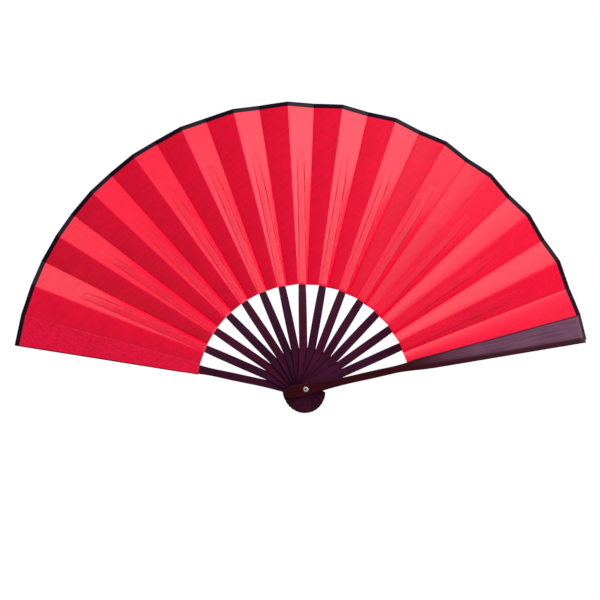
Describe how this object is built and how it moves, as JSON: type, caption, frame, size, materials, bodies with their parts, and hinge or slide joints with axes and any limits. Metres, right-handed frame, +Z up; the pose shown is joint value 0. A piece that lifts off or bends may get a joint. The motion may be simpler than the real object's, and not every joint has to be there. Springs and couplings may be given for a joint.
{
  "type": "folding hand fan",
  "caption": "Pleated folding hand fan, open: red cloth leaf with black edging on dark wood ribs between two wide guards, on one tubular rivet.",
  "frame": {"origin": "the rivet's axis at the middle of the stack of sticks", "axes": "+Y along the rivet from the front guard to the back guard, so the front faces -Y; +Z up along the middle rib's side, +X towards the front guard"},
  "size_m": [0.6036, 0.0282, 0.3297],
  "materials": {
    "rosewood": "satin",
    "silk": "satin",
    "nickel": "polished"
  },
  "bodies": {
    "hub": {"rib_08": "rosewood", "rivet_tube": "nickel", "rivet_washer_front": "nickel", "rivet_washer_back": "nickel"},
    "front_guard": {"front_guard": "rosewood", "leaf_panel_15": "silk"},
    "back_guard": {"back_guard": "rosewood", "leaf_panel_01": "silk"},
    "rib_02": {"rib_02": "rosewood"},
    "rib_03": {"rib_03": "rosewood"},
    "rib_04": {"rib_04": "rosewood"},
    "rib_05": {"rib_05": "rosewood"},
    "rib_06": {"rib_06": "rosewood"},
    "rib_07": {"rib_07": "rosewood"},
    "rib_09": {"rib_09": "rosewood"},
    "rib_10": {"rib_10": "rosewood"},
    "rib_11": {"rib_11": "rosewood"},
    "rib_12": {"rib_12": "rosewood"},
    "rib_13": {"rib_13": "rosewood"},
    "rib_14": {"rib_14": "rosewood"},
    "panel_02": {"rib_tip_02": "rosewood", "leaf_panel_02": "silk"},
    "panel_03": {"rib_tip_03": "rosewood", "leaf_panel_03": "silk"},
    "panel_04": {"rib_tip_04": "rosewood", "leaf_panel_04": "silk"},
    "panel_05": {"rib_tip_05": "rosewood", "leaf_panel_05": "silk"},
    "panel_06": {"rib_tip_06": "rosewood", "leaf_panel_06": "silk"},
    "panel_07": {"rib_tip_07": "rosewood", "leaf_panel_07": "silk"},
    "panel_08": {"rib_tip_08": "rosewood", "leaf_panel_08": "silk"},
    "panel_09": {"rib_tip_09": "rosewood", "leaf_panel_09": "silk"},
    "panel_10": {"rib_tip_10": "rosewood", "leaf_panel_10": "silk"},
    "panel_11": {"rib_tip_11": "rosewood", "leaf_panel_11": "silk"},
    "panel_12": {"rib_tip_12": "rosewood", "leaf_panel_12": "silk"},
    "panel_13": {"rib_tip_13": "rosewood", "leaf_panel_13": "silk"},
    "panel_14": {"rib_tip_14": "rosewood", "leaf_panel_14": "silk"},
    "pleat_01": {"leaf_pleat_01": "silk"},
    "pleat_02": {"leaf_pleat_02": "silk"},
    "pleat_03": {"leaf_pleat_03": "silk"},
    "pleat_04": {"leaf_pleat_04": "silk"},
    "pleat_05": {"leaf_pleat_05": "silk"},
    "pleat_06": {"leaf_pleat_06": "silk"},
    "pleat_07": {"leaf_pleat_07": "silk"},
    "pleat_08": {"leaf_pleat_08": "silk"},
    "pleat_09": {"leaf_pleat_09": "silk"},
    "pleat_10": {"leaf_pleat_10": "silk"},
    "pleat_11": {"leaf_pleat_11": "silk"},
    "pleat_12": {"leaf_pleat_12": "silk"},
    "pleat_13": {"leaf_pleat_13": "silk"},
    "pleat_14": {"leaf_pleat_14": "silk"}
  },
  "joints": [
    {"name": "front_guard_swing", "type": "hinge", "parent": "hub", "child": "front_guard", "pos_m": [0, 0, 0], "axis": [0, -1, 0], "range_deg": [0, 77.74]},
    {"name": "back_guard_swing", "type": "hinge", "parent": "hub", "child": "back_guard", "pos_m": [0, 0, 0], "axis": [0, 1, 0], "range_deg": [0, 77.86]},
    {"name": "rib_02_swing", "type": "hinge", "parent": "hub", "child": "rib_02", "pos_m": [0, 0, 0], "axis": [0, 1, 0], "range_deg": [0, 66.18]},
    {"name": "rib_03_swing", "type": "hinge", "parent": "hub", "child": "rib_03", "pos_m": [0, 0, 0], "axis": [0, 1, 0], "range_deg": [0, 55.15]},
    {"name": "rib_04_swing", "type": "hinge", "parent": "hub", "child": "rib_04", "pos_m": [0, 0, 0], "axis": [0, 1, 0], "range_deg": [0, 44.12]},
    {"name": "rib_05_swing", "type": "hinge", "parent": "hub", "child": "rib_05", "pos_m": [0, 0, 0], "axis": [0, 1, 0], "range_deg": [0, 33.09]},
    {"name": "rib_06_swing", "type": "hinge", "parent": "hub", "child": "rib_06", "pos_m": [0, 0, 0], "axis": [0, 1, 0], "range_deg": [0, 22.06]},
    {"name": "rib_07_swing", "type": "hinge", "parent": "hub", "child": "rib_07", "pos_m": [0, 0, 0], "axis": [0, 1, 0], "range_deg": [0, 11.03]},
    {"name": "rib_09_swing", "type": "hinge", "parent": "hub", "child": "rib_09", "pos_m": [0, 0, 0], "axis": [0, -1, 0], "range_deg": [0, 11.03]},
    {"name": "rib_10_swing", "type": "hinge", "parent": "hub", "child": "rib_10", "pos_m": [0, 0, 0], "axis": [0, -1, 0], "range_deg": [0, 22.06]},
    {"name": "rib_11_swing", "type": "hinge", "parent": "hub", "child": "rib_11", "pos_m": [0, 0, 0], "axis": [0, -1, 0], "range_deg": [0, 33.09]},
    {"name": "rib_12_swing", "type": "hinge", "parent": "hub", "child": "rib_12", "pos_m": [0, 0, 0], "axis": [0, -1, 0], "range_deg": [0, 44.12]},
    {"name": "rib_13_swing", "type": "hinge", "parent": "hub", "child": "rib_13", "pos_m": [0, 0, 0], "axis": [0, -1, 0], "range_deg": [0, 55.15]},
    {"name": "rib_14_swing", "type": "hinge", "parent": "hub", "child": "rib_14", "pos_m": [0, 0, 0], "axis": [0, -1, 0], "range_deg": [0, 66.18]},
    {"name": "panel_02_tilt", "type": "hinge", "parent": "rib_02", "child": "panel_02", "pos_m": [-0.10241, 0.0078, 0.04535], "axis": [0.9144, 0, -0.4049], "range_deg": [0, 21.31]},
    {"name": "panel_03_tilt", "type": "hinge", "parent": "rib_03", "child": "panel_03", "pos_m": [-0.09184, 0.0065, 0.0641], "axis": [0.82, 0, -0.5723], "range_deg": [0, 21.31]},
    {"name": "panel_04_tilt", "type": "hinge", "parent": "rib_04", "child": "panel_04", "pos_m": [-0.07788, 0.0052, 0.08049], "axis": [0.6954, 0, -0.7187], "range_deg": [0, 21.31]},
    {"name": "panel_05_tilt", "type": "hinge", "parent": "rib_05", "child": "panel_05", "pos_m": [-0.06104, 0.0039, 0.0939], "axis": [0.545, 0, -0.8384], "range_deg": [0, 21.31]},
    {"name": "panel_06_tilt", "type": "hinge", "parent": "rib_06", "child": "panel_06", "pos_m": [-0.04195, 0.0026, 0.10385], "axis": [0.3745, 0, -0.9272], "range_deg": [0, 21.31]},
    {"name": "panel_07_tilt", "type": "hinge", "parent": "rib_07", "child": "panel_07", "pos_m": [-0.02131, 0.0013, 0.10995], "axis": [0.1902, 0, -0.9817], "range_deg": [0, 21.31]},
    {"name": "panel_08_tilt", "type": "hinge", "parent": "hub", "child": "panel_08", "pos_m": [0.00012, 0, 0.112], "axis": [-0.0011, 0, -1], "range_deg": [0, 21.31]},
    {"name": "panel_09_tilt", "type": "hinge", "parent": "rib_09", "child": "panel_09", "pos_m": [0.02155, -0.0013, 0.10991], "axis": [-0.1924, 0, -0.9813], "range_deg": [0, 21.31]},
    {"name": "panel_10_tilt", "type": "hinge", "parent": "rib_10", "child": "panel_10", "pos_m": [0.04218, -0.0026, 0.10375], "axis": [-0.3766, 0, -0.9264], "range_deg": [0, 21.31]},
    {"name": "panel_11_tilt", "type": "hinge", "parent": "rib_11", "child": "panel_11", "pos_m": [0.06125, -0.0039, 0.09377], "axis": [-0.5469, 0, -0.8372], "range_deg": [0, 21.31]},
    {"name": "panel_12_tilt", "type": "hinge", "parent": "rib_12", "child": "panel_12", "pos_m": [0.07806, -0.0052, 0.08032], "axis": [-0.697, 0, -0.7171], "range_deg": [0, 21.31]},
    {"name": "panel_13_tilt", "type": "hinge", "parent": "rib_13", "child": "panel_13", "pos_m": [0.09198, -0.0065, 0.0639], "axis": [-0.8213, 0, -0.5705], "range_deg": [0, 21.31]},
    {"name": "panel_14_tilt", "type": "hinge", "parent": "rib_14", "child": "panel_14", "pos_m": [0.10251, -0.0078, 0.04512], "axis": [-0.9153, 0, -0.4028], "range_deg": [0, 21.31]},
    {"name": "pleat_01_fold", "type": "hinge", "parent": "back_guard", "child": "pleat_01", "pos_m": [-0.10787, 0.00877, 0.03012], "axis": [0.9631, 0, -0.269], "range_deg": [0, 167.44], "deforming": ["leaf_pleat_01"]},
    {"name": "pleat_02_fold", "type": "hinge", "parent": "panel_02", "child": "pleat_02", "pos_m": [-0.09967, 0.00991, 0.05104], "axis": [0.8904, -0.0216, -0.4547], "range_deg": [0, 133.47], "deforming": ["leaf_pleat_02"]},
    {"name": "pleat_03_fold", "type": "hinge", "parent": "panel_03", "child": "pleat_03", "pos_m": [-0.08807, 0.00861, 0.06916], "axis": [0.7869, -0.0216, -0.6167], "range_deg": [0, 133.47], "deforming": ["leaf_pleat_03"]},
    {"name": "pleat_04_fold", "type": "hinge", "parent": "panel_04", "child": "pleat_04", "pos_m": [-0.07321, 0.00731, 0.08474], "axis": [0.6544, -0.0216, -0.7558], "range_deg": [0, 133.47], "deforming": ["leaf_pleat_04"]},
    {"name": "pleat_05_fold", "type": "hinge", "parent": "panel_05", "child": "pleat_05", "pos_m": [-0.05564, 0.00601, 0.09718], "axis": [0.4977, -0.0216, -0.8671], "range_deg": [0, 133.47], "deforming": ["leaf_pleat_05"]},
    {"name": "pleat_06_fold", "type": "hinge", "parent": "panel_06", "child": "pleat_06", "pos_m": [-0.03602, 0.00471, 0.10603], "axis": [0.3226, -0.0216, -0.9463], "range_deg": [0, 133.47], "deforming": ["leaf_pleat_06"]},
    {"name": "pleat_07_fold", "type": "hinge", "parent": "panel_07", "child": "pleat_07", "pos_m": [-0.01507, 0.00341, 0.11096], "axis": [0.1356, -0.0216, -0.9905], "range_deg": [0, 133.47], "deforming": ["leaf_pleat_07"]},
    {"name": "pleat_08_fold", "type": "hinge", "parent": "panel_08", "child": "pleat_08", "pos_m": [0.00644, 0.00211, 0.1118], "axis": [-0.0564, -0.0216, -0.9982], "range_deg": [0, 133.47], "deforming": ["leaf_pleat_08"]},
    {"name": "pleat_09_fold", "type": "hinge", "parent": "panel_09", "child": "pleat_09", "pos_m": [0.02771, 0.00081, 0.1085], "axis": [-0.2463, -0.0216, -0.9689], "range_deg": [0, 133.47], "deforming": ["leaf_pleat_09"]},
    {"name": "pleat_10_fold", "type": "hinge", "parent": "panel_10", "child": "pleat_10", "pos_m": [0.04795, -0.00049, 0.10119], "axis": [-0.4272, -0.0216, -0.9039], "range_deg": [0, 133.47], "deforming": ["leaf_pleat_10"]},
    {"name": "pleat_11_fold", "type": "hinge", "parent": "panel_11", "child": "pleat_11", "pos_m": [0.06643, -0.00179, 0.09015], "axis": [-0.5922, -0.0216, -0.8055], "range_deg": [0, 133.47], "deforming": ["leaf_pleat_11"]},
    {"name": "pleat_12_fold", "type": "hinge", "parent": "panel_12", "child": "pleat_12", "pos_m": [0.08245, -0.00309, 0.07577], "axis": [-0.7354, -0.0216, -0.6773], "range_deg": [0, 133.47], "deforming": ["leaf_pleat_12"]},
    {"name": "pleat_13_fold", "type": "hinge", "parent": "panel_13", "child": "pleat_13", "pos_m": [0.09542, -0.00439, 0.0586], "axis": [-0.8514, -0.0216, -0.5241], "range_deg": [0, 133.47], "deforming": ["leaf_pleat_13"]},
    {"name": "pleat_14_fold", "type": "hinge", "parent": "panel_14", "child": "pleat_14", "pos_m": [0.10487, -0.00569, 0.03926], "axis": [-0.9359, -0.0216, -0.3515], "range_deg": [0, 143.2], "deforming": ["leaf_pleat_14"]}
  ],
  "couplings": [
    {"joint": "back_guard_swing", "follows": "front_guard_swing", "ratio": 1.0016},
    {"joint": "rib_02_swing", "follows": "front_guard_swing", "ratio": 0.85135},
    {"joint": "rib_03_swing", "follows": "front_guard_swing", "ratio": 0.70946},
    {"joint": "rib_04_swing", "follows": "front_guard_swing", "ratio": 0.56757},
    {"joint": "rib_05_swing", "follows": "front_guard_swing", "ratio": 0.42568},
    {"joint": "rib_06_swing", "follows": "front_guard_swing", "ratio": 0.28378},
    {"joint": "rib_07_swing", "follows": "front_guard_swing", "ratio": 0.14189},
    {"joint": "rib_09_swing", "follows": "front_guard_swing", "ratio": 0.14189},
    {"joint": "rib_10_swing", "follows": "front_guard_swing", "ratio": 0.28378},
    {"joint": "rib_11_swing", "follows": "front_guard_swing", "ratio": 0.42568},
    {"joint": "rib_12_swing", "follows": "front_guard_swing", "ratio": 0.56757},
    {"joint": "rib_13_swing", "follows": "front_guard_swing", "ratio": 0.70946},
    {"joint": "rib_14_swing", "follows": "front_guard_swing", "ratio": 0.85135},
    {"joint": "panel_02_tilt", "follows": "front_guard_swing", "ratio": 0.27415},
    {"joint": "panel_03_tilt", "follows": "front_guard_swing", "ratio": 0.27415},
    {"joint": "panel_04_tilt", "follows": "front_guard_swing", "ratio": 0.27415},
    {"joint": "panel_05_tilt", "follows": "front_guard_swing", "ratio": 0.27415},
    {"joint": "panel_06_tilt", "follows": "front_guard_swing", "ratio": 0.27415},
    {"joint": "panel_07_tilt", "follows": "front_guard_swing", "ratio": 0.27415},
    {"joint": "panel_08_tilt", "follows": "front_guard_swing", "ratio": 0.27415},
    {"joint": "panel_09_tilt", "follows": "front_guard_swing", "ratio": 0.27415},
    {"joint": "panel_10_tilt", "follows": "front_guard_swing", "ratio": 0.27415},
    {"joint": "panel_11_tilt", "follows": "front_guard_swing", "ratio": 0.27415},
    {"joint": "panel_12_tilt", "follows": "front_guard_swing", "ratio": 0.27415},
    {"joint": "panel_13_tilt", "follows": "front_guard_swing", "ratio": 0.27415},
    {"joint": "panel_14_tilt", "follows": "front_guard_swing", "ratio": 0.27415},
    {"joint": "pleat_01_fold", "follows": "front_guard_swing", "ratio": 2.154},
    {"joint": "pleat_02_fold", "follows": "front_guard_swing", "ratio": 1.7169},
    {"joint": "pleat_03_fold", "follows": "front_guard_swing", "ratio": 1.7169},
    {"joint": "pleat_04_fold", "follows": "front_guard_swing", "ratio": 1.7169},
    {"joint": "pleat_05_fold", "follows": "front_guard_swing", "ratio": 1.7169},
    {"joint": "pleat_06_fold", "follows": "front_guard_swing", "ratio": 1.7169},
    {"joint": "pleat_07_fold", "follows": "front_guard_swing", "ratio": 1.7169},
    {"joint": "pleat_08_fold", "follows": "front_guard_swing", "ratio": 1.7169},
    {"joint": "pleat_09_fold", "follows": "front_guard_swing", "ratio": 1.7169},
    {"joint": "pleat_10_fold", "follows": "front_guard_swing", "ratio": 1.7169},
    {"joint": "pleat_11_fold", "follows": "front_guard_swing", "ratio": 1.7169},
    {"joint": "pleat_12_fold", "follows": "front_guard_swing", "ratio": 1.7169},
    {"joint": "pleat_13_fold", "follows": "front_guard_swing", "ratio": 1.7169},
    {"joint": "pleat_14_fold", "follows": "front_guard_swing", "ratio": 1.8421}
  ]
}
